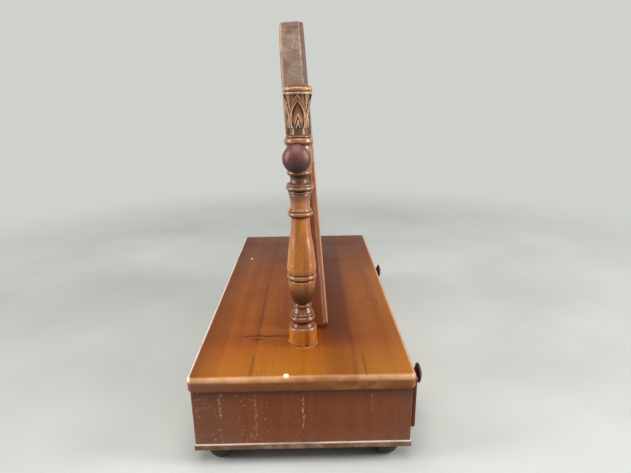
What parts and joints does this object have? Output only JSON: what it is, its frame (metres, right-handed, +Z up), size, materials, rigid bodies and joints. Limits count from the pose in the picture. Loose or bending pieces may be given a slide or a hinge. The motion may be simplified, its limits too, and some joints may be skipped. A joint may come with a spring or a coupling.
{
  "type": "dressing table mirror with musical box",
  "caption": "Arched swing mirror between turned posts on a low box with a wide drawer and a wind-up musical movement behind it.",
  "frame": {"origin": "on the floor under the middle of the outer box", "axes": "+Z up, the drawer opens towards -Y, the posts stand along X"},
  "size_m": [0.522, 0.2906, 0.4995],
  "materials": {
    "mahogany_top": "stained and lacquered, worn at the edges",
    "mahogany_case": "stained and lacquered, semi-gloss",
    "post_wood": "turned, stained and lacquered",
    "frame_wood": "stained and lacquered, dusty on top",
    "knob_wood": "turned, dark lacquer",
    "drawer_wood": "planed, unfinished",
    "board": "plain board, unfinished",
    "mirror_glass": "silvered plate glass",
    "brass": "machined",
    "steel": "machined",
    "cast_plate": "cast, plain"
  },
  "bodies": {
    "case": {"top_board": "mahogany_top", "base_board": "mahogany_case", "back_panel": "mahogany_case", "partition": "board", "top_rail": "mahogany_case", "front_left_foot": "mahogany_case", "front_right_foot": "mahogany_case", "back_left_foot": "mahogany_case", "back_right_foot": "mahogany_case", "left_end_panel": "mahogany_case", "right_end_panel": "mahogany_case", "left_stile": "mahogany_case", "right_stile": "mahogany_case", "left_runner": "drawer_wood", "right_runner": "drawer_wood", "back_panel_screws": "brass", "left_post": "post_wood", "right_post": "post_wood", "post_bushes": "brass", "movement_bedplate": "cast_plate", "movement_front_plate": "brass", "movement_rear_plate": "brass", "movement_pillars": "steel", "music_comb": "steel", "comb_screws": "steel"},
    "drawer": {"drawer_front": "mahogany_case", "drawer_left_side": "drawer_wood", "drawer_right_side": "drawer_wood", "drawer_back": "drawer_wood", "drawer_bottom": "drawer_wood", "drawer_left_knob": "knob_wood", "drawer_right_knob": "knob_wood", "drawer_knob_screws": "steel"},
    "mirror": {"mirror_arch": "frame_wood", "mirror_left_stile": "frame_wood", "mirror_right_stile": "frame_wood", "mirror_bottom_rail": "frame_wood", "mirror_bead": "frame_wood", "mirror_glass": "mirror_glass", "mirror_back_board": "board", "back_board_pins": "steel", "pivot_bolts": "steel", "pivot_spacers": "brass"},
    "left_knob": {"left_pivot_knob": "knob_wood"},
    "right_knob": {"right_pivot_knob": "knob_wood"},
    "winder": {"winding_arbor": "steel", "winding_key": "brass"},
    "barrel": {"barrel_drum": "brass", "barrel_cap": "brass", "mainspring": "steel"},
    "cylinder": {"cylinder_arbor": "steel", "cylinder_wheel": "brass", "music_cylinder": "brass"},
    "second": {"second_pinion": "steel", "second_wheel": "brass"},
    "fan": {"fan_pinion": "steel", "governor_fan": "brass"},
    "stop": {"stop_rod": "steel"}
  },
  "joints": [
    {"name": "mirror_tilt", "type": "hinge", "parent": "case", "child": "mirror", "pos_m": [0, 0.00615, 0.342], "axis": [1, 0, 0], "range_deg": [-75, 84]},
    {"name": "left_knob_turn", "type": "hinge", "parent": "mirror", "child": "left_knob", "pos_m": [-0.198, 0.00615, 0.342], "axis": [1, 0, 0], "continuous": true},
    {"name": "right_knob_turn", "type": "hinge", "parent": "mirror", "child": "right_knob", "pos_m": [0.198, 0.00615, 0.342], "axis": [1, 0, 0], "continuous": true},
    {"name": "drawer_slide", "type": "slide", "parent": "case", "child": "drawer", "axis": [0, -1, 0], "range_m": [0, 0.12]},
    {"name": "stop_slide", "type": "slide", "parent": "case", "child": "stop", "axis": [0, -1, 0], "range_m": [0, 0.0042]},
    {"name": "key_wind", "type": "hinge", "parent": "case", "child": "winder", "pos_m": [-0.016, 0.09165, 0.054], "axis": [0, 1, 0], "continuous": true},
    {"name": "barrel_turn", "type": "hinge", "parent": "case", "child": "barrel", "pos_m": [-0.016, 0.09165, 0.054], "axis": [0, 1, 0], "continuous": true},
    {"name": "cylinder_turn", "type": "hinge", "parent": "case", "child": "cylinder", "pos_m": [0.0064, 0.09165, 0.054], "axis": [0, 1, 0], "continuous": true},
    {"name": "second_turn", "type": "hinge", "parent": "case", "child": "second", "pos_m": [0.0124, 0.09165, 0.06439], "axis": [0, 1, 0], "continuous": true},
    {"name": "fan_turn", "type": "hinge", "parent": "case", "child": "fan", "pos_m": [0.0162, 0.09165, 0.07097], "axis": [0, 1, 0], "continuous": true}
  ],
  "couplings": [
    {"joint": "cylinder_turn", "follows": "barrel_turn", "ratio": -1.8},
    {"joint": "second_turn", "follows": "barrel_turn", "ratio": 9},
    {"joint": "fan_turn", "follows": "barrel_turn", "ratio": -33.75},
    {"joint": "stop_slide", "follows": "drawer_slide", "ratio": 0.033333}
  ]
}
